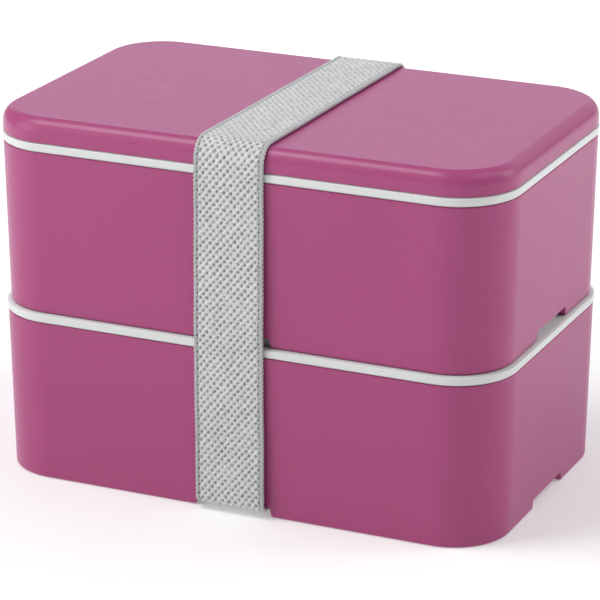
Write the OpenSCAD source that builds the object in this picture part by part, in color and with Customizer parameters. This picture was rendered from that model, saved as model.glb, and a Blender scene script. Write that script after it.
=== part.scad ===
// Two-tier bento lunch box held shut by a wide elastic strap.
// Two identical deep containers, each closed by an identical plug-in sealing lid,
// with a plain outer lid on top.  +X runs along the length, +Z up, and the origin
// is on the table under the middle of the box.

/* [Box] */
// Length over the rims of the sealing lids
box_l = 170; // [160:1:185]
// Width over the rims of the sealing lids
box_w = 105; // [98:1:115]
// Plan radius of the corners of the sealing lids
corner_r = 20; // [19:0.5:24]
// Height of one container
container_h = 52.2; // [44:0.1:60]
// How much narrower a container is at its foot than at its rim, on each side
container_draft = 1.0; // [0.5:0.1:1.4]
// Thickness of the container walls
wall = 2.0; // [1.8:0.1:2.2]
// Height of the outer lid
outer_lid_h = 7.4; // [7.2:0.1:11]

/* [Foot] */
// Depth of the hollow under each container's floor
foot_h = 3.6; // [3.5:0.1:4]
// Width of the gaps in the foot, between their upright sides
notch_w = 25.5; // [25:0.5:28]
// Height of the gaps in the foot
notch_h = 3.3; // [3.1:0.1:3.3]

/* [Sealing lids] */
// Thickness of the rim that shows between the containers, with its shadow lines
rim_t = 3.0; // [2.6:0.1:3.2]
// Height of the raised panel that locates the part above
panel_rise = 2.8; // [2.6:0.1:2.8]
// Depth of the plug inside the container
plug_depth = 6.5; // [6.5:0.5:8]

/* [Strap] */
// Width of the elastic strap
strap_w = 23; // [20:0.5:24]
// Thickness of the elastic strap
strap_t = 1.3; // [1:0.1:1.3]

/* [Hidden] */
$fn = 64;

pink = [0.66, 0.33, 0.50];
white = [0.86, 0.87, 0.86];
silicone = [0.78, 0.80, 0.80];
elastic = [0.80, 0.81, 0.81];
thread = [0.72, 0.73, 0.73];

// Centres of the plan corners: every profile below is measured outward from these lines
core_x = box_l / 2 - corner_r;
core_y = box_w / 2 - corner_r;

// Levels of the stack
lower_lid_z = container_h;
upper_box_z = lower_lid_z + rim_t;
upper_lid_z = upper_box_z + container_h;
outer_lid_z = upper_lid_z + rim_t;
box_top = outer_lid_z + outer_lid_h;

// Container profile
rim_inset = 0.3;
rim_out = corner_r - rim_inset;
foot_out = rim_out - container_draft;
foot_wall = 2.2;
foot_in = foot_out - foot_wall;
floor_t = 2.2;
floor_top = foot_h + floor_t;
foot_edge_r = 1.0;
rim_edge_r = 0.4;
rim_bevel = 0.3;
inner_fillet = 6;
inner_top = rim_out - wall;
// The wall is this much thinner at the floor than at the rim
wall_taper = 0.1;
inner_foot = foot_out + wall_taper - wall;

// Gap in the foot: rounded where it meets the table and where its sides meet its top
notch_mouth_r = 1.3;
notch_top_r = 0.8;
notch_lean = 0.3;

// Sealing lid profile, from the underside of its rim
panel_clear = 0.4;
panel_out = foot_in - panel_clear;
panel_top = rim_t + panel_rise;
panel_t = 1.8;
panel_edge_r = 1.0;
plug_clear = 0.4;
plug_wall = 3;
plug_out = inner_top - plug_clear;
plug_in = plug_out - plug_wall;
groove_depth = 1.3;
groove_in = plug_out - groove_depth;
groove_low = -4.6;
groove_high = -2.8;
plug_bevel = 0.6;
lid_edge_r = 0.4;
// Shadow lines above and below the white band
shadow_depth = 0.8;
shadow_low = 0.35;
shadow_high = 0.2;

// Silicone ring in the plug's groove, with two small lips
ring_gap = 0.1;
ring_proud = 0.1;
ring_sunk = 0.3;
ring_out = plug_out + ring_proud;
ring_waist = plug_out - ring_sunk;
ring_lip = 0.4;
ring_waist_h = 0.3;

// Air vent, near the +X end of each sealing lid
vent_x = 48;
vent_cap_r = 5.6;
vent_cap_t = 1.1;
vent_cap_edge_r = 0.4;
vent_dish_r = 3.4;
vent_dish_depth = 0.5;
vent_stem_r = 2.0;
vent_tip_r = 1.4;
vent_barb_r = 2.7;
vent_barb_t = 0.5;
vent_barb_h = 1.6;
vent_clear = 0.3;
vent_side_clear = 0.5;
vent_seat_clear = 0.1;
vent_barb_clear = 0.2;
vent_recess = 2.2;
vent_boss_low = 1.2;
vent_boss_r = 8.0;
vent_travel = 1.5;

// Outer lid profile
cover_wall = 2.4;
cover_top_t = 2.2;
// The rounded top edge stops short of level, which leaves a crease round the flat top
cover_fillet = 4.6;
cover_crease = 12;
cover_inner_r = 2;

// Strap loop, seen along X: it clears the widest rim and the top by strap_gap
strap_gap = 0.3;
strap_in_y = box_w / 2 + strap_gap;
strap_in_top = box_top + strap_gap;
strap_in_low = notch_h - strap_gap;
strap_top_r = 5;
strap_low_r = 1.5;
// Heights at which one stretch of the strap hands over to the next
strap_cuts = [8, 30, 57, 84];
overlap_l = 20;
stitch_l = 1.7;
stitch_w = 0.6;
stitch_pitch = 2.2;
stitch_margin = 1;
stitch_rows_y = [-8, -5, 5, 8];
stitch_proud = 0.15;

// How far a cutting shape runs on past the surface that it cuts
cut_past = 1;

// Points along a circular arc, ends included
function arc(x, z, r, from, to, steps = 8) =
    [for (i = [0:steps]) let (a = from + (to - from) * i / steps) [x + r * cos(a), z + r * sin(a)]];

// Carries a profile once round the box: x is outward from the core lines, y is height
module round_the_box() {
    for (k = [0:3]) {
        along = k % 2 == 0 ? core_x : core_y;
        out = k % 2 == 0 ? core_y : core_x;
        rotate(90 * k) translate([-along, out, 0])
            rotate([90, 0, 90]) linear_extrude(2 * along) children();
        rotate(90 * k) translate([along, out, 0])
            rotate_extrude(angle = 90, $fn = 96) children();
    }
}

// The flat middle that joins a profile which starts on the core lines
module core_plate(z, t) {
    translate([-core_x, -core_y, z]) cube([2 * core_x, 2 * core_y, t]);
}

// Gap in a foot, open downward
module foot_gap(turn, reach) {
    half = notch_w / 2;
    mouth = half + notch_mouth_r;
    corner = half - notch_lean - notch_top_r;
    rotate(turn) translate([0, 1.5 * reach, 0]) rotate([90, 0, 0])
        linear_extrude(reach)
            polygon([
                [-mouth, -cut_past],
                [mouth, -cut_past],
                each arc(mouth, notch_mouth_r, notch_mouth_r, -90, -180, 5),
                each arc(corner, notch_h - notch_top_r, notch_top_r, 0, 90, 5),
                each arc(-corner, notch_h - notch_top_r, notch_top_r, 90, 180, 5),
                each arc(-mouth, notch_mouth_r, notch_mouth_r, 0, -90, 5)
            ]);
}

module container(z) {
    translate([0, 0, z]) difference() {
        union() {
            round_the_box() polygon([
                [0, foot_h],
                [foot_in, foot_h],
                [foot_in, rim_bevel],
                [foot_in + rim_bevel, 0],
                each arc(foot_out - foot_edge_r, foot_edge_r, foot_edge_r, -90, 0),
                each arc(rim_out - rim_edge_r, container_h - rim_edge_r, rim_edge_r, 0, 90, 4),
                [inner_top + rim_bevel, container_h],
                [inner_top, container_h - rim_bevel],
                each arc(inner_foot - inner_fillet, floor_top + inner_fillet, inner_fillet, 0, -90),
                [0, floor_top]
            ]);
            core_plate(foot_h, floor_top - foot_h);
        }
        for (turn = [0:90:270]) foot_gap(turn, turn % 180 == 0 ? box_w / 3 : box_l / 3);
    }
}

module sealing_lid(z) {
    translate([0, 0, z]) difference() {
        union() {
            round_the_box() polygon([
                [0, panel_top - panel_t],
                [plug_in, panel_top - panel_t],
                [plug_in, -plug_depth],
                [plug_out - plug_bevel, -plug_depth],
                [plug_out, -plug_depth + plug_bevel],
                [plug_out, groove_low],
                [groove_in, groove_low],
                [groove_in, groove_high],
                [plug_out, groove_high],
                [plug_out, 0],
                [corner_r - shadow_depth, 0],
                [corner_r - shadow_depth, shadow_low],
                each arc(corner_r - lid_edge_r, shadow_low + lid_edge_r, lid_edge_r, -90, 0, 5),
                each arc(corner_r - lid_edge_r, rim_t - shadow_high - lid_edge_r, lid_edge_r, 0, 90, 5),
                [corner_r - shadow_depth, rim_t - shadow_high],
                [corner_r - shadow_depth, rim_t],
                [panel_out, rim_t],
                each arc(panel_out - panel_edge_r, panel_top - panel_edge_r, panel_edge_r, 0, 90, 5),
                [0, panel_top]
            ]);
            core_plate(panel_top - panel_t, panel_t);
            translate([vent_x, 0, vent_boss_low])
                cylinder(r = vent_boss_r, h = panel_top - panel_t / 2 - vent_boss_low);
        }
        translate([vent_x, 0, panel_top - vent_recess])
            cylinder(r = vent_cap_r + vent_side_clear, h = vent_recess + cut_past);
        translate([vent_x, 0, 0]) cylinder(r = vent_stem_r + vent_clear, h = panel_top);
    }
}

module gasket(z) {
    mid = (groove_low + groove_high) / 2;
    translate([0, 0, z]) round_the_box() polygon([
        [groove_in + ring_gap, groove_low + ring_gap],
        [ring_waist, groove_low + ring_gap],
        [ring_out, groove_low + ring_lip],
        [ring_waist, mid - ring_waist_h / 2],
        [ring_waist, mid + ring_waist_h / 2],
        [ring_out, groove_high - ring_lip],
        [ring_waist, groove_high - ring_gap],
        [groove_in + ring_gap, groove_high - ring_gap]
    ]);
}

// Mushroom plug: a cap in the recess, a stem through the lid and a barb that stops it
module vent_plug(z) {
    cap_low = panel_top - vent_recess + vent_seat_clear;
    cap_top = cap_low + vent_cap_t;
    barb_high = vent_boss_low - vent_travel - vent_barb_clear;
    tip = barb_high - vent_barb_h;
    translate([vent_x, 0, z]) rotate_extrude() polygon([
        [0, tip],
        [vent_tip_r, tip],
        [vent_barb_r, barb_high - vent_barb_t],
        [vent_barb_r, barb_high],
        [vent_stem_r, barb_high],
        [vent_stem_r, cap_low],
        [vent_cap_r, cap_low],
        each arc(vent_cap_r - vent_cap_edge_r, cap_top - vent_cap_edge_r, vent_cap_edge_r, 0, 90, 4),
        [vent_dish_r, cap_top],
        [vent_dish_r - vent_dish_depth, cap_top - vent_dish_depth],
        [0, cap_top - vent_dish_depth]
    ]);
}

module outer_cover() {
    translate([0, 0, outer_lid_z]) {
        round_the_box() polygon([
            [0, outer_lid_h - cover_top_t],
            each arc(
                rim_out - cover_wall - cover_inner_r,
                outer_lid_h - cover_top_t - cover_inner_r, cover_inner_r, 90, 0, 5),
            [rim_out - cover_wall, 0],
            each arc(rim_out - rim_edge_r, rim_edge_r, rim_edge_r, -90, 0, 4),
            each arc(
                rim_out - cover_fillet,
                outer_lid_h - cover_fillet * cos(cover_crease), cover_fillet, 0, 90 - cover_crease, 10),
            [0, outer_lid_h]
        ]);
        core_plate(outer_lid_h - cover_top_t, cover_top_t);
    }
}

// One bend of the strap: centre, inner radius, and the quarter that it fills
module strap_bend(y, z, r, turn) {
    translate([y, z]) rotate(turn) intersection() {
        difference() {
            circle(r = r + strap_t);
            circle(r = r);
        }
        square(r + strap_t);
    }
}

// Half of the loop, on the +Y side, in the plane of Y and Z
module strap_half() {
    side_low = strap_in_low + strap_low_r;
    side_high = strap_in_top - strap_top_r;
    translate([0, strap_in_low - strap_t]) square([strap_in_y - strap_low_r, strap_t]);
    strap_bend(strap_in_y - strap_low_r, side_low, strap_low_r, -90);
    translate([strap_in_y, side_low]) square([strap_t, side_high - side_low]);
    strap_bend(strap_in_y - strap_top_r, side_high, strap_top_r, 0);
    translate([0, strap_in_top]) square([strap_in_y - strap_top_r, strap_t]);
}

// The part of the loop between two heights
module strap_between(low, high) {
    reach = strap_in_y + strap_t + cut_past;
    for (flip = [0, 1]) mirror([0, flip, 0]) translate([-strap_w / 2, 0, 0])
        rotate([90, 0, 90]) linear_extrude(strap_w) intersection() {
            strap_half();
            translate([0, low]) square([reach, high - low]);
        }
}

module strap_overlap() {
    translate([-strap_w / 2, -overlap_l / 2, strap_in_low - 2 * strap_t])
        cube([strap_w, overlap_l, strap_t]);
}

module strap_stitches() {
    count = floor((strap_w - 2 * stitch_margin) / stitch_pitch);
    for (y = stitch_rows_y, i = [0:count - 1])
        translate([(i - (count - 1) / 2) * stitch_pitch - stitch_l / 2, y - stitch_w / 2,
                   strap_in_low - 2 * strap_t - stitch_proud])
            cube([stitch_l, stitch_w, stitch_proud]);
}

module lower_container() { color(pink) container(0); }
module lower_sealing_lid() { color(white) sealing_lid(lower_lid_z); }
module lower_gasket() { color(silicone) gasket(lower_lid_z); }
module lower_vent_plug() { color(silicone) vent_plug(lower_lid_z); }
module upper_container() { color(pink) container(upper_box_z); }
module upper_sealing_lid() { color(white) sealing_lid(upper_lid_z); }
module upper_gasket() { color(silicone) gasket(upper_lid_z); }
module upper_vent_plug() { color(silicone) vent_plug(upper_lid_z); }
module outer_lid() { color(pink) outer_cover(); }
module strap_bottom_run() { color(elastic) strap_between(0, strap_cuts[0]); }
module strap_seam_overlap() { color(elastic) strap_overlap(); }
module strap_seam_stitching() { color(thread) strap_stitches(); }
module strap_low_sides() { color(elastic) strap_between(strap_cuts[0], strap_cuts[1]); }
module strap_waist_sides() { color(elastic) strap_between(strap_cuts[1], strap_cuts[2]); }
module strap_high_sides() { color(elastic) strap_between(strap_cuts[2], strap_cuts[3]); }
module strap_top_run() { color(elastic) strap_between(strap_cuts[3], strap_in_top + strap_t); }

lower_container();
lower_sealing_lid();
lower_gasket();
lower_vent_plug();
upper_container();
upper_sealing_lid();
upper_gasket();
upper_vent_plug();
outer_lid();
strap_bottom_run();
strap_seam_overlap();
strap_seam_stitching();
strap_low_sides();
strap_waist_sides();
strap_high_sides();
strap_top_run();
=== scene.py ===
"""Looks for the two-tier bento lunch box.

Moulded plastics on the CAD parts, a knitted elastic strap, and a soft studio.
"""
import math

import bpy
import numpy as np
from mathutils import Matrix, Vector


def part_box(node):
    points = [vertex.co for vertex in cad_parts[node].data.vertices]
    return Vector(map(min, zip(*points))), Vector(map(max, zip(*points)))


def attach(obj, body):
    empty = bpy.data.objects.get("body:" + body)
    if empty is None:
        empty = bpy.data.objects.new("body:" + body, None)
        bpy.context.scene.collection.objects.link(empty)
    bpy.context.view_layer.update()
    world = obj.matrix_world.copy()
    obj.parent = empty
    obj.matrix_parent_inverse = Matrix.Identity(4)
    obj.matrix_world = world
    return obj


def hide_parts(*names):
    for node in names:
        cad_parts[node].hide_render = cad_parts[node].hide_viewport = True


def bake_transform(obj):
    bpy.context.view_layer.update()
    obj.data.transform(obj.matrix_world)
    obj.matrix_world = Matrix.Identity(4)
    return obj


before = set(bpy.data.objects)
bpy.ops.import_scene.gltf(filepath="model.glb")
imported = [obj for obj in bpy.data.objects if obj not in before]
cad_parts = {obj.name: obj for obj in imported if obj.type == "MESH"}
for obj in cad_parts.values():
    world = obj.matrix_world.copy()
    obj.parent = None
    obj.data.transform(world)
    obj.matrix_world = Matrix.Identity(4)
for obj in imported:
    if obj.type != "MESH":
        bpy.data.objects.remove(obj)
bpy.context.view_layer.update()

MM = 0.001

# ---------------------------------------------------------------- camera

CAMERA_AZIMUTH = math.radians(24.3)
CAMERA_ELEVATION = math.radians(19.4)
CAMERA_LENS = 192
CAMERA_SENSOR = 36
CAMERA_NEAR = 0.01
CAMERA_DISTANCE = 1.012
CAMERA_AIM = Vector((-0.0006, 0, 0.0524))


def direction(azimuth, elevation):
    """The way out from the box. Azimuth 0 is in front of it, and 90 degrees is at its right end."""
    level = math.cos(elevation)
    return Vector((math.sin(azimuth) * level, -math.cos(azimuth) * level, math.sin(elevation)))


def make_camera():
    away = direction(CAMERA_AZIMUTH, CAMERA_ELEVATION)
    camera = bpy.data.objects.new("camera", bpy.data.cameras.new("camera"))
    bpy.context.scene.collection.objects.link(camera)
    camera.data.lens = CAMERA_LENS
    camera.data.sensor_width = CAMERA_SENSOR
    camera.data.clip_start = CAMERA_NEAR
    camera.location = CAMERA_AIM + away * CAMERA_DISTANCE
    camera.rotation_euler = (-away).to_track_quat("-Z", "Y").to_euler()
    bpy.context.scene.camera = camera


# ---------------------------------------------------------------- node helpers


class Nodes:
    """A material's node tree, with short calls for the nodes that the materials share."""

    def __init__(self, name):
        self.material = bpy.data.materials.new(name)
        self.material.use_nodes = True
        self.tree = self.material.node_tree
        self.shader = self.tree.nodes["Principled BSDF"]

    def add(self, kind, **values):
        node = self.tree.nodes.new(kind)
        for key, value in values.items():
            setattr(node, key, value)
        return node

    def link(self, out, into):
        self.tree.links.new(out, into)

    def set(self, **values):
        for key, value in values.items():
            self.shader.inputs[key.replace("_", " ")].default_value = value

    def place(self):
        """Where a point is on the object, in metres."""
        return self.add("ShaderNodeTexCoord").outputs["Object"]

    def noise(self, where, per_metre, detail=4.0, roughness=0.5, distortion=0.0):
        node = self.add("ShaderNodeTexNoise")
        self.link(where, node.inputs["Vector"])
        node.inputs["Scale"].default_value = per_metre
        node.inputs["Detail"].default_value = detail
        node.inputs["Roughness"].default_value = roughness
        node.inputs["Distortion"].default_value = distortion
        return node.outputs["Fac"]

    def span(self, value, low, high, from_low=0.3, from_high=0.7):
        node = self.add("ShaderNodeMapRange")
        self.link(value, node.inputs["Value"])
        node.inputs["From Min"].default_value = from_low
        node.inputs["From Max"].default_value = from_high
        node.inputs["To Min"].default_value = low
        node.inputs["To Max"].default_value = high
        return node.outputs["Result"]

    def mix(self, amount, first, second):
        """A mix of two colours, each a tuple or another node's output."""
        node = self.add("ShaderNodeMix", data_type="RGBA")
        self.link(amount, node.inputs["Factor"])
        for socket, colour in ((node.inputs["A"], first), (node.inputs["B"], second)):
            if isinstance(colour, tuple):
                socket.default_value = (*colour, 1)
            else:
                self.link(colour, socket)
        return node.outputs["Result"]

    def bump(self, height, depth, strength=1.0, after=None):
        node = self.add("ShaderNodeBump")
        self.link(height, node.inputs["Height"])
        node.inputs["Distance"].default_value = depth
        node.inputs["Strength"].default_value = strength
        if after:
            self.link(after, node.inputs["Normal"])
        return node.outputs["Normal"]

    def finish(self, colour, roughness, normal):
        self.link(colour, self.shader.inputs["Base Color"])
        self.link(roughness, self.shader.inputs["Roughness"])
        self.link(normal, self.shader.inputs["Normal"])
        return self.material


# ---------------------------------------------------------------- materials


# The share of its colour that a plastic keeps in the hollows of the mould's grain
FLECK_SHADE = 0.93


def satin_plastic(name, colour, deep, rough, grain, scatter):
    """Injection-moulded polypropylene.

    It has a fine spark-eroded grain, slow drifts of tone and gloss, and faint rub marks.
    """
    n = Nodes(name)
    where = n.place()
    drift = n.noise(where, 22, detail=2)
    speck = n.noise(where, 1500, detail=2)
    rubbed = n.noise(where, 160, detail=6, roughness=0.7, distortion=0.6)
    tone = n.mix(n.span(drift, 0, 1), colour, deep)
    fleck = tuple(c * FLECK_SHADE for c in colour)
    tone = n.mix(n.span(speck, 0, 0.35, 0.35, 0.75), tone, fleck)
    gloss = n.span(rubbed, rough - 0.03, rough + 0.04)
    fine = n.bump(n.noise(where, 3200, detail=3), 0.00002, grain)
    uneven = n.bump(n.noise(where, 60, detail=1), 0.00025, 0.05, after=fine)
    n.set(IOR=1.49, Specular_IOR_Level=0.3, Subsurface_Weight=scatter, Subsurface_Scale=0.002)
    n.shader.inputs["Subsurface Radius"].default_value = (1.0, 0.45, 0.6)
    return n.finish(tone, gloss, uneven)


def silicone():
    n = Nodes("silicone")
    where = n.place()
    cloudy = n.noise(where, 300, detail=3)
    tone = n.mix(n.span(cloudy, 0, 1), (0.60, 0.62, 0.62), (0.52, 0.55, 0.56))
    dusty = n.span(n.noise(where, 900, detail=4), 0.48, 0.66)
    n.set(IOR=1.41, Subsurface_Weight=0.4, Subsurface_Scale=0.003)
    return n.finish(tone, dusty, n.bump(cloudy, 0.00005, 0.3))


# The yarn's filaments lean by this much, and this scale draws them out along the strap
YARN_SLANT = math.radians(24)
YARN_DRAW = 0.35


def knitted_elastic():
    """Polyester-covered elastic.

    The mesh carries two attributes. One holds painted shade: 1 down in a pit, 0 between the
    pits, and below 0 on the yarn's crowns, where it is painted highlight. The other is cloth, the
    place on the flat strap in metres.
    """
    n = Nodes("knitted_elastic")
    pit_and_painted_shade = n.add("ShaderNodeAttribute", attribute_name="pit_and_painted_shade").outputs["Fac"]
    cloth = n.add("ShaderNodeAttribute", attribute_name="cloth").outputs["Vector"]
    stretch = n.add("ShaderNodeMapping", vector_type="POINT")
    n.link(cloth, stretch.inputs["Vector"])
    stretch.inputs["Rotation"].default_value = (0, 0, YARN_SLANT)
    stretch.inputs["Scale"].default_value = (1.0, YARN_DRAW, 1.0)
    filament = n.noise(stretch.outputs["Vector"], 4200, detail=5, roughness=0.7)
    tufts = n.noise(cloth, 1700, detail=3, roughness=0.6)
    batch = n.noise(cloth, 90, detail=3)
    yarn = n.mix(n.span(batch, 0, 1), (0.66, 0.665, 0.67), (0.59, 0.60, 0.605))
    yarn = n.mix(n.span(tufts, 0, 0.5, 0.42, 0.66), yarn, (0.40, 0.41, 0.415))
    yarn = n.mix(n.span(filament, 0, 0.6, 0.45, 0.7), yarn, (0.36, 0.365, 0.37))
    # Painted highlight: the yarn's crowns are lightened where the painted shade goes below 0
    yarn = n.mix(n.span(pit_and_painted_shade, 0.8, 0, -0.25, 0.05), yarn, (0.88, 0.88, 0.88))
    # Painted shade: darker in the pits, the groove by each edge, between the cords and where the
    # back is drawn in
    tone = n.mix(n.span(pit_and_painted_shade, 0, 0.85, 0.08, 0.8), yarn, (0.20, 0.203, 0.21))
    n.set(Sheen_Weight=0.2, Sheen_Roughness=0.45, IOR=1.5)
    dull = n.span(filament, 0.62, 0.9)
    coarse = n.bump(tufts, 0.0003, 0.8)
    return n.finish(tone, dull, n.bump(filament, 0.00012, 0.8, after=coarse))


def sewing_thread():
    n = Nodes("sewing_thread")
    where = n.place()
    ply = n.add("ShaderNodeTexWave", wave_type="BANDS", bands_direction="DIAGONAL")
    n.link(where, ply.inputs["Vector"])
    ply.inputs["Scale"].default_value = 900
    ply.inputs["Distortion"].default_value = 1.5
    twist = ply.outputs["Fac"]
    tone = n.mix(twist, (0.60, 0.61, 0.62), (0.42, 0.43, 0.45))
    return n.finish(tone, n.span(twist, 0.6, 0.8, 0, 1), n.bump(twist, 0.00008, 0.8))


def studio_floor():
    """A white floor that glows as painted light: a little by the box, where the dimmer glow is
    painted shade, and more further off.
    """
    n = Nodes("studio_floor")
    where = n.place()
    paper = n.noise(where, 40, detail=4)
    tone = n.mix(n.span(paper, 0, 1), (0.80, 0.80, 0.80), (0.78, 0.78, 0.78))
    far = n.add("ShaderNodeVectorMath", operation="LENGTH")
    n.link(where, far.inputs[0])
    outward = n.span(far.outputs["Value"], 0, 1, 0.20, 0.7)
    # Painted glow: dim by the box as painted shade, brighter further off
    painted_glow = n.mix(outward, (0.24, 0.24, 0.24), (0.75, 0.75, 0.75))
    n.link(painted_glow, n.shader.inputs["Emission Color"])
    n.set(Emission_Strength=1.0)
    return n.finish(tone, n.span(paper, 0.75, 0.85), n.bump(paper, 0.0001, 0.1))


def dress_cad_parts():
    pink = satin_plastic(
        "pink_polypropylene", (0.390, 0.068, 0.198), (0.376, 0.064, 0.188), 0.31, 0.22, 0.06)
    white = satin_plastic(
        "white_polypropylene", (0.71, 0.725, 0.715), (0.68, 0.70, 0.69), 0.33, 0.22, 0.15)
    rubber = silicone()
    finishes = {
        "lower_container": pink, "upper_container": pink, "outer_lid": pink,
        "lower_sealing_lid": white, "upper_sealing_lid": white,
        "lower_gasket": rubber, "upper_gasket": rubber,
        "lower_vent_plug": rubber, "upper_vent_plug": rubber,
    }
    for node, material in finishes.items():
        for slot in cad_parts[node].material_slots:
            slot.material = material


# ---------------------------------------------------------------- the strap's path

# The CAD loop: its outer faces come from the CAD strap parts, and these are its make-up
THICK = 1.3 * MM
TOP_BEND = 5.0 * MM
LOW_BEND = 1.5 * MM

OUT_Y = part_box("strap_top_run")[1][1]
OUT_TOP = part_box("strap_top_run")[1][2]
OUT_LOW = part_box("strap_bottom_run")[0][2]
IN_Y = OUT_Y - THICK
IN_TOP = OUT_TOP - THICK
IN_LOW = OUT_LOW + THICK
STRAP_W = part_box("strap_top_run")[1][0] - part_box("strap_top_run")[0][0]

RUN_LOW = IN_Y - LOW_BEND
ARC_LOW = (LOW_BEND + THICK / 2) * math.pi / 2
RUN_SIDE = IN_TOP - TOP_BEND - IN_LOW - LOW_BEND
ARC_TOP = (TOP_BEND + THICK / 2) * math.pi / 2
RUN_TOP = IN_Y - TOP_BEND
HALF_LOOP = RUN_LOW + ARC_LOW + RUN_SIDE + ARC_TOP + RUN_TOP
ENDS = np.cumsum([RUN_LOW, ARC_LOW, RUN_SIDE, ARC_TOP, RUN_TOP])


def loop_point(along):
    """The strap's inner face and its outward normal, in Y and Z, at distances along the loop.

    The loop starts under the box, goes up the front, over the lid and down the back.
    """
    along = np.asarray(along, float)
    back = along > HALF_LOOP
    s = np.where(back, 2 * HALF_LOOP - along, along)
    low_turn = np.clip((s - ENDS[0]) / ARC_LOW, 0, 1) * math.pi / 2
    top_turn = np.clip((s - ENDS[2]) / ARC_TOP, 0, 1) * math.pi / 2
    turn = low_turn + top_turn
    normal_y, normal_z = -np.sin(turn), -np.cos(turn)
    y = -np.clip(s, 0, RUN_LOW)
    z = np.full_like(s, IN_LOW)
    on_bend = (s > ENDS[0]) & (s <= ENDS[1])
    y = np.where(on_bend, -RUN_LOW - LOW_BEND * np.sin(low_turn), y)
    z = np.where(on_bend, IN_LOW + LOW_BEND * (1 - np.cos(low_turn)), z)
    on_side = (s > ENDS[1]) & (s <= ENDS[2])
    y = np.where(on_side, -IN_Y, y)
    z = np.where(on_side, IN_LOW + LOW_BEND + (s - ENDS[1]), z)
    on_top_bend = (s > ENDS[2]) & (s <= ENDS[3])
    y = np.where(on_top_bend, -RUN_TOP - TOP_BEND * np.cos(top_turn), y)
    z = np.where(on_top_bend, IN_TOP - TOP_BEND * (1 - np.sin(top_turn)), z)
    on_top = s > ENDS[3]
    y = np.where(on_top, -RUN_TOP + (s - ENDS[3]), y)
    z = np.where(on_top, IN_TOP, z)
    return np.where(back, -y, y), z, np.where(back, -normal_y, normal_y), normal_z


def smooth(values, reach):
    """Rounds off the corners of a closed series, by averaging over reach samples twice."""
    for _ in range(2):
        padded = np.concatenate([values[-reach:], values, values[:reach]])
        total = np.cumsum(np.insert(padded, 0, 0))
        values = (total[2 * reach + 1:] - total[:-2 * reach - 1]) / (2 * reach + 1)
    return values


# ---------------------------------------------------------------- the strap's knit

# How far apart the columns of pits are, and the pits in a column, and the width of an edge
COLUMN = 1.14 * MM
ROW = 2.72 * MM
SELVEDGE = 1.35 * MM
# How finely the mesh follows the knit
STEPS_PER_ROW = 12
STEPS_PER_COLUMN = 5
BACK_POINTS = 97

ROWS = 2 * round(HALF_LOOP / ROW)
LOOP_STEPS = ROWS * STEPS_PER_ROW
STEP = 2 * HALF_LOOP / LOOP_STEPS
ROW_FITTED = STEP * STEPS_PER_ROW

SEED = 11
DRAWS = np.random.RandomState(SEED)


def soft_noise(cell):
    """A function of place on the strap that drifts smoothly between -1 and 1, cell by cell."""
    across_cells = int(2 * STRAP_W / cell) + 4
    along_cells = int(round(2 * HALF_LOOP / cell))
    grid = DRAWS.uniform(-1, 1, (across_cells, along_cells))

    def read(across, along):
        u = across / cell + across_cells / 2
        v = np.mod(along / (2 * HALF_LOOP), 1) * along_cells
        i, j = np.floor(u).astype(int), np.floor(v).astype(int)
        a, b = u - i, v - j
        a, b = a * a * (3 - 2 * a), b * b * (3 - 2 * b)
        j0, j1 = j % along_cells, (j + 1) % along_cells
        near = grid[i, j0] * (1 - b) + grid[i, j1] * b
        far = grid[i + 1, j0] * (1 - b) + grid[i + 1, j1] * b
        return near * (1 - a) + far * a

    return read


SHIFT_ACROSS = soft_noise(1.5 * MM)
SHIFT_ALONG = soft_noise(1.9 * MM)
LOOP_SIZE = soft_noise(1.2 * MM)
FUZZ = soft_noise(0.42 * MM)


# How far the loops stray from their places
STRAY_ACROSS = 0.15 * MM
STRAY_ALONG = 0.22 * MM

# The field: its level below the yarn's crowns, and what the pits, crowns and fluff add to it
FIELD_LEVEL = 0.24 * MM
PIT_DEPTH = 0.44 * MM
CROWN_HEIGHT = 0.22 * MM
CROWN_VARIES = 0.06 * MM
FLUFF_HEIGHT = 0.08 * MM
# How much of the knit is between the pits, and how much of a leg of yarn leans over a pit
PIT_START = 0.16
PIT_VARIES = 0.16
LEG_OVER_PIT = 0.10
FLUFF_OVER_PIT = 0.12
LEG_OVER_CROWN = 0.25

# The corded edge, and the line of dots between it and the field
EDGE_LEVEL = 0.06 * MM
CORD_DEPTH = 0.10 * MM
RIB_DEPTH = 0.16 * MM
EDGE_FLUFF = 0.03 * MM
RIBS_PER_ROW = 6
CORDS = 2
EDGE_BLEND = 0.10 * MM
GROOVE_WIDTH = 0.24 * MM
GROOVE_DEPTH = 0.30 * MM
DOTS_PER_ROW = 2
BETWEEN_DOTS = 0.25

# How dark the painted shade makes each feature, with the crowns lightened as painted highlight
# and the fluff as random tone, and how far below 0 the lightest yarn goes
CROWN_PAINTED_HIGHLIGHT = -0.12
CORD_PAINTED_SHADE = 0.10
RIB_PAINTED_SHADE = 0.34
DOT_PAINTED_SHADE = 0.95
FLUFF_SHADE = 0.10
LIGHTEST = -0.3


def wave(phase):
    """A cosine that runs from 0 to 1."""
    return 0.5 + 0.5 * np.cos(phase)


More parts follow.
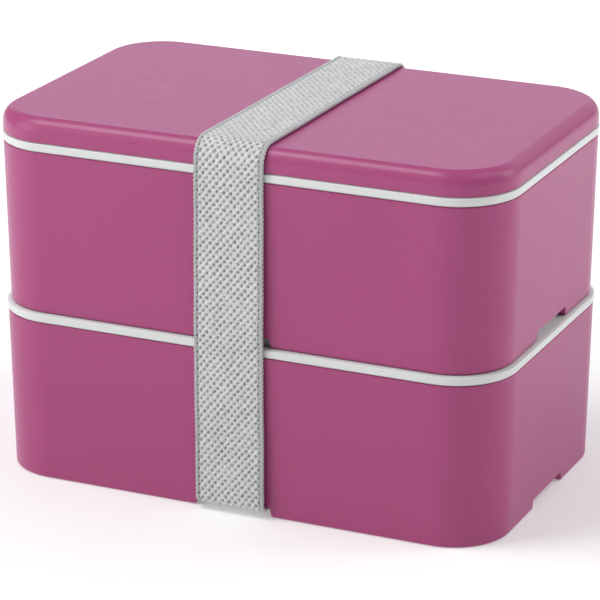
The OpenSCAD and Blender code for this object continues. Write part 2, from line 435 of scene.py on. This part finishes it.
def knit_depth(across, along, half_width):
    """How deep the face lies below its crowns, and the painted shade on it.

    The field has pits in staggered columns, and each edge is a corded selvedge.
    """
    inward = half_width - np.abs(across)
    x = across + STRAY_ACROSS * SHIFT_ACROSS(across, along)
    y = along + STRAY_ALONG * SHIFT_ALONG(across, along)
    size = LOOP_SIZE(across, along)
    fuzz = FUZZ(across, along)

    column, row = math.pi * x / COLUMN, 2 * math.pi * y / ROW_FITTED
    weave = np.cos(column) * np.cos(row)
    leg = np.cos(column + row)
    open_by = weave - PIT_START + PIT_VARIES * size - LEG_OVER_PIT * leg + FLUFF_OVER_PIT * fuzz
    pit_and_painted_shade = np.clip(open_by / (1 - PIT_START), 0, 1)
    crown = np.clip(-weave + LEG_OVER_CROWN * leg, 0, 1)
    raised = (CROWN_HEIGHT + CROWN_VARIES * size) * crown
    field = FIELD_LEVEL + PIT_DEPTH * pit_and_painted_shade - raised - FLUFF_HEIGHT * fuzz

    ribs = wave(2 * math.pi * along / (ROW_FITTED / RIBS_PER_ROW))
    between_cords = wave(2 * math.pi * inward / (SELVEDGE / CORDS))
    edge = EDGE_LEVEL + CORD_DEPTH * between_cords + RIB_DEPTH * ribs - EDGE_FLUFF * fuzz
    groove = np.exp(-(((inward - SELVEDGE) / GROOVE_WIDTH) ** 2))
    dots = groove * (
        BETWEEN_DOTS + (1 - BETWEEN_DOTS) * wave(2 * math.pi * y / (ROW_FITTED / DOTS_PER_ROW)))

    share = 1 / (1 + np.exp(-(inward - SELVEDGE) / EDGE_BLEND))
    depth = edge * (1 - share) + field * share + GROOVE_DEPTH * dots
    # Painted shade: darker in the pits, between the cords, in the ribs and in the groove's dots,
    # with painted highlight on the crowns; the fluff adds random tone
    field_painted_shade = pit_and_painted_shade + CROWN_PAINTED_HIGHLIGHT * crown
    edge_painted_shade = CORD_PAINTED_SHADE * between_cords + RIB_PAINTED_SHADE * ribs
    painted_shade = field_painted_shade * share + edge_painted_shade * (1 - share) + DOT_PAINTED_SHADE * dots + FLUFF_SHADE * fuzz
    return depth, np.clip(painted_shade, LIGHTEST, 1)


# The strap lies a little askew: at these shares of the way round, how far its middle is from
# the box's, in mm, and how wide half of it is
SKEW_AT = [0, 0.28, 0.42, 0.60, 0.75, 1.0]
SKEW_BY = [-0.15, -0.15, 0.6, 1.9, 0.9, -0.15]
HALF_WIDTH = [11.50, 11.50, 11.35, 11.15, 11.30, 11.50]
SKEW_EASE = 60
# It wanders in two slow waves, and its edges have a small scallop at every half row
WANDER = 0.06 * MM
WANDER_TURNS = 7
RIPPLE = 0.04 * MM
RIPPLE_TURNS = 19
SCALLOP = 0.13 * MM


def strap_lines():
    """Where each cross-section stands: distance along, middle, half width, place and normal."""
    along = np.arange(LOOP_STEPS) * STEP
    turn = 2 * math.pi * along / (2 * HALF_LOOP)
    middle, half = (
        smooth(np.interp(turn / (2 * math.pi), SKEW_AT, values), SKEW_EASE) * MM
        for values in (SKEW_BY, HALF_WIDTH))
    wander = WANDER * np.sin(WANDER_TURNS * turn + 1) + RIPPLE * np.sin(RIPPLE_TURNS * turn)
    scallop = SCALLOP * np.cos(2 * math.pi * along / (ROW_FITTED / 2))
    return along, middle + wander, half + scallop, loop_point(along)


# The inner face: fine ribs that run along the strap, broken into stitches
BACK_RIB = 0.8 * COLUMN
BACK_RIB_DEPTH = 0.10 * MM
BACK_STITCHES_PER_ROW = 4
BACK_STITCH_DEPTH = 0.07 * MM
BACK_FLUFF = 0.02 * MM


def back_relief(across, along):
    """How far the inner face is drawn in, from its lowest rows."""
    rib = wave(2 * math.pi * across / BACK_RIB)
    slant = math.pi * across / COLUMN
    stitches = wave(2 * math.pi * along / (ROW_FITTED / BACK_STITCHES_PER_ROW) + slant)
    fluff = BACK_FLUFF * (1 + FUZZ(across, along))
    return rib * (BACK_RIB_DEPTH + BACK_STITCH_DEPTH * stitches) + fluff


EDGE_ROUND = 0.42 * MM
EDGE_TURNS = np.radians([67, 45, 22, 0, -22, -45, -67])


def cross_section(half):
    """Where the points round one cross-section are, and their share of the thickness.

    They go along the face, round an edge, along the back and round the other edge. The share
    is 1 on the face and 0 on the back.
    """
    columns = round(STRAP_W / COLUMN * STEPS_PER_COLUMN)
    flat = half - EDGE_ROUND
    face = np.linspace(-flat, flat, columns + 1)
    edge_x = flat + EDGE_ROUND * np.cos(EDGE_TURNS)
    edge_d = 0.5 + 0.5 * np.sin(EDGE_TURNS)
    back = np.linspace(flat, -flat, BACK_POINTS)
    x = np.concatenate([face, edge_x, back, -edge_x[::-1]])
    d = np.concatenate([np.ones(len(face)), edge_d, np.zeros(len(back)), edge_d[::-1]])
    return x, d


# The knit is never deeper than these shares of the thickness, on the face and on the back
DEEPEST_FACE = 0.7
DEEPEST_BACK = 0.3
# How dark the round of an edge is, and the painted shade on the back for each millimetre that it
# is drawn in
EDGE_SHADE = 0.1
BACK_PAINTED_SHADE = 2.0


def strap_strip(first, last):
    """Points, faces, painted shade and flat places of the closed strip between two cross-sections.
    """
    along, middle, half, (y, z, normal_y, normal_z) = STRAP
    index = np.arange(first, last + 1) % LOOP_STEPS
    points, painted_shades, flats = [], [], []
    for i, k in enumerate(index):
        x, share = cross_section(half[k])
        here = np.full_like(x, along[k])
        on_face, on_back = share == 1, share == 0
        depth, painted_shade = knit_depth(x, here, half[k])
        drawn = back_relief(x, here)
        height = share * (THICK - np.clip(depth, 0, DEEPEST_FACE * THICK))
        height = np.where(on_back, np.clip(drawn, 0, DEEPEST_BACK * THICK), height)
        points.append(np.column_stack([
            middle[k] + x, y[k] + normal_y[k] * height, z[k] + normal_z[k] * height]))
        # Painted shade: the back darkens where it is drawn in, and the round of an edge gets a
        # fixed level
        off_face_painted_shade = np.where(on_back, BACK_PAINTED_SHADE * drawn / MM, EDGE_SHADE)
        painted_shades.append(np.where(on_face, painted_shade, off_face_painted_shade))
        flats.append(np.column_stack([x, np.full_like(x, (first + i) * STEP), np.zeros_like(x)]))
    ring, rows = len(points[0]), len(points)
    a = np.arange(rows - 1)[:, None] * ring
    b = np.arange(ring)[None, :]
    c = (b + 1) % ring
    quads = np.stack([a + b, a + c, a + ring + c, a + ring + b], axis=-1).reshape(-1, 4).tolist()
    ends = [list(range(ring))[::-1], [(rows - 1) * ring + j for j in range(ring)]]
    return np.vstack(points), quads + ends, np.concatenate(painted_shades), np.vstack(flats)


def mesh_piece(name, strips, material):
    """One object out of several closed strips, with the attributes that the elastic reads."""
    points, faces, painted_shades, flats = [], [], [], []
    start = 0
    for strip_points, strip_faces, strip_painted_shades, strip_flats in strips:
        points.append(strip_points)
        faces += [[v + start for v in face] for face in strip_faces]
        painted_shades.append(strip_painted_shades)
        flats.append(strip_flats)
        start += len(strip_points)
    mesh = bpy.data.meshes.new(name)
    mesh.from_pydata(np.vstack(points).tolist(), [], faces)
    pit_and_painted_shade = mesh.attributes.new("pit_and_painted_shade", "FLOAT", "POINT")
    pit_and_painted_shade.data.foreach_set("value", np.concatenate(painted_shades).astype(np.float32))
    cloth = mesh.attributes.new("cloth", "FLOAT_VECTOR", "POINT")
    cloth.data.foreach_set("vector", np.vstack(flats).astype(np.float32).ravel())
    mesh.polygons.foreach_set("use_smooth", [True] * len(mesh.polygons))
    mesh.materials.append(material)
    piece = bpy.data.objects.new(name, mesh)
    bpy.context.scene.collection.objects.link(piece)
    return piece


# ---------------------------------------------------------------- the strap's pieces

STRAP = strap_lines()


def step_at_height(height):
    """The cross-section on the front run that stands at a height."""
    return round((ENDS[1] + height - IN_LOW - LOW_BEND) / STEP)


def make_strap(material):
    """Four pieces of the one loop, each built in place of the CAD parts that it hides; nothing ties
    a piece to the bodies named in its plan.
    """
    low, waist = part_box("strap_low_sides"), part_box("strap_waist_sides")
    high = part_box("strap_high_sides")
    cuts = [step_at_height(box[1][2]) for box in (low, waist, high)]
    plans = [
        ("strap_foot_web", "strap_base", "strap_low", low[0][2], low[1][2],
         [(-cuts[0], cuts[0])], ["strap_bottom_run", "strap_low_sides"]),
        ("strap_waist_web", "strap_low", "strap_waist", waist[0][2], waist[1][2],
         [(cuts[0], cuts[1]), (-cuts[1], -cuts[0])], ["strap_waist_sides"]),
        ("strap_high_web", "strap_waist", "strap_high", high[0][2], high[1][2],
         [(cuts[1], cuts[2]), (-cuts[2], -cuts[1])], ["strap_high_sides"]),
        ("strap_lid_web", "strap_high", "strap_top", high[1][2], IN_TOP - 2 * TOP_BEND,
         [(cuts[2], LOOP_STEPS - cuts[2])], ["strap_top_run"]),
    ]
    for name, below, above, start, end, stretches, nodes in plans:
        piece = mesh_piece(name, [strap_strip(*stretch) for stretch in stretches], material)
        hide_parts(*nodes)
        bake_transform(piece)


# ---------------------------------------------------------------- the strap's seam

STITCH_RADIUS = 0.28 * MM
STITCH_HALF_LENGTH = 0.85 * MM
STITCH_SINK = 0.30 * MM
# The powers of the distance from its middle by which a stitch narrows and sinks, and the
# least share of its section that is left at a tip
NARROWS_BY = 6
SINKS_BY = 4
STITCH_TIP = 0.05
STITCH_TURNS = 10
STITCH_RINGS = 9
# The sewn rows across the strap, and the stitches in a row
ROWS_AT = [-8 * MM, -5 * MM, 5 * MM, 8 * MM]
STITCH_PITCH = 2.2 * MM
STITCHES = 9


def stitch(middle, outward):
    """One bowed stitch along X, with its ends pulled into the cloth. Outward is 1 up or -1 down."""
    points, faces = [], []
    for i in range(STITCH_RINGS):
        t = 2 * i / (STITCH_RINGS - 1) - 1
        radius = STITCH_RADIUS * math.sqrt(max(STITCH_TIP, 1 - t ** NARROWS_BY))
        sink = STITCH_SINK * t ** SINKS_BY
        for k in range(STITCH_TURNS):
            a = 2 * math.pi * k / STITCH_TURNS
            points.append((
                middle[0] + STITCH_HALF_LENGTH * t,
                middle[1] + radius * math.cos(a),
                middle[2] + radius * math.sin(a) - outward * sink,
            ))
    for i in range(STITCH_RINGS - 1):
        for k in range(STITCH_TURNS):
            a, b = i * STITCH_TURNS + k, i * STITCH_TURNS + (k + 1) % STITCH_TURNS
            faces.append([a, b, b + STITCH_TURNS, a + STITCH_TURNS])
    last = (STITCH_RINGS - 1) * STITCH_TURNS
    faces += [list(range(STITCH_TURNS)), [last + k for k in range(STITCH_TURNS)][::-1]]
    return np.array(points), [face[::-1] for face in faces]


def make_seam(elastic, thread):
    """The strap's lapped end under the box, and the sewn rows on both faces of the lap."""
    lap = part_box("strap_seam_overlap")
    reach = round((lap[1][1] - lap[0][1]) / 2 / STEP)
    points, faces, painted_shades, flats = strap_strip(-reach, reach)
    lapped = mesh_piece("strap_lapped_end", [(points - (0, 0, THICK), faces, painted_shades, flats)], elastic)
    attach(lapped, "strap_base")
    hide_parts("strap_seam_overlap")

    low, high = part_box("strap_seam_stitching")
    proud = high[2] - low[2]
    faces_at = ((-1, low[2] + STITCH_RADIUS), (1, IN_LOW + proud - STITCH_RADIUS))
    strap_middle = STRAP[1][0]
    strips = []
    for row_y in ROWS_AT:
        for i in range(STITCHES):
            x = strap_middle + (i - (STITCHES - 1) / 2) * STITCH_PITCH
            for outward, z in faces_at:
                made, quads = stitch((x, row_y, z), outward)
                strips.append((made, quads, np.zeros(len(made)), made))
    rows = mesh_piece("strap_stitch_rows", strips, thread)
    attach(rows, "strap_base")
    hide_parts("strap_seam_stitching")


# ---------------------------------------------------------------- studio


LIGHTS_AIM = Vector((0, 0, 0.06))
FLOOR_REACH = 6.0
WORLD_STRENGTH = 0.26


def softbox(name, azimuth, elevation, distance, size, radiance, colour=(1, 1, 1)):
    """A panel of soft light aimed at the box, in degrees and metres."""
    away = direction(math.radians(azimuth), math.radians(elevation))
    light = bpy.data.lights.new(name, "AREA")
    light.shape = "RECTANGLE"
    light.size, light.size_y = size
    light.energy = radiance * math.pi * size[0] * size[1]
    light.color = colour
    lamp = bpy.data.objects.new(name, light)
    bpy.context.scene.collection.objects.link(lamp)
    lamp.location = LIGHTS_AIM + away * distance
    lamp.rotation_euler = away.to_track_quat("Z", "Y").to_euler()


def make_floor():
    mesh = bpy.data.meshes.new("floor")
    square = ((-1, -1), (1, -1), (1, 1), (-1, 1))
    corners = [(x * FLOOR_REACH, y * FLOOR_REACH, 0) for x, y in square]
    mesh.from_pydata(corners, [], [(0, 1, 2, 3)])
    mesh.materials.append(studio_floor())
    floor = bpy.data.objects.new("floor", mesh)
    bpy.context.scene.collection.objects.link(floor)


def make_studio():
    make_floor()
    world = bpy.data.worlds.new("studio")
    world.use_nodes = True
    sky = world.node_tree.nodes["Background"]
    sky.inputs["Color"].default_value = (1, 1, 1, 1)
    sky.inputs["Strength"].default_value = WORLD_STRENGTH
    bpy.context.scene.world = world
    bpy.context.scene.view_settings.view_transform = "Standard"
    softbox("front_left", -50, 20, 1.4, (0.8, 0.9), 3.1)
    softbox("right_end", 122, 26, 1.3, (0.6, 0.8), 3.1)
    softbox("behind", 190, 24, 2.2, (3.4, 1.3), 0.75, (0.9, 0.95, 1.1))
    softbox("overhead_left", -60, 62, 1.4, (0.6, 0.6), 8.4)
    softbox("overhead_right", 95, 58, 1.4, (0.7, 0.7), 2.2)


make_camera()
dress_cad_parts()
ELASTIC = knitted_elastic()
make_strap(ELASTIC)
make_seam(ELASTIC, sewing_thread())
make_studio()
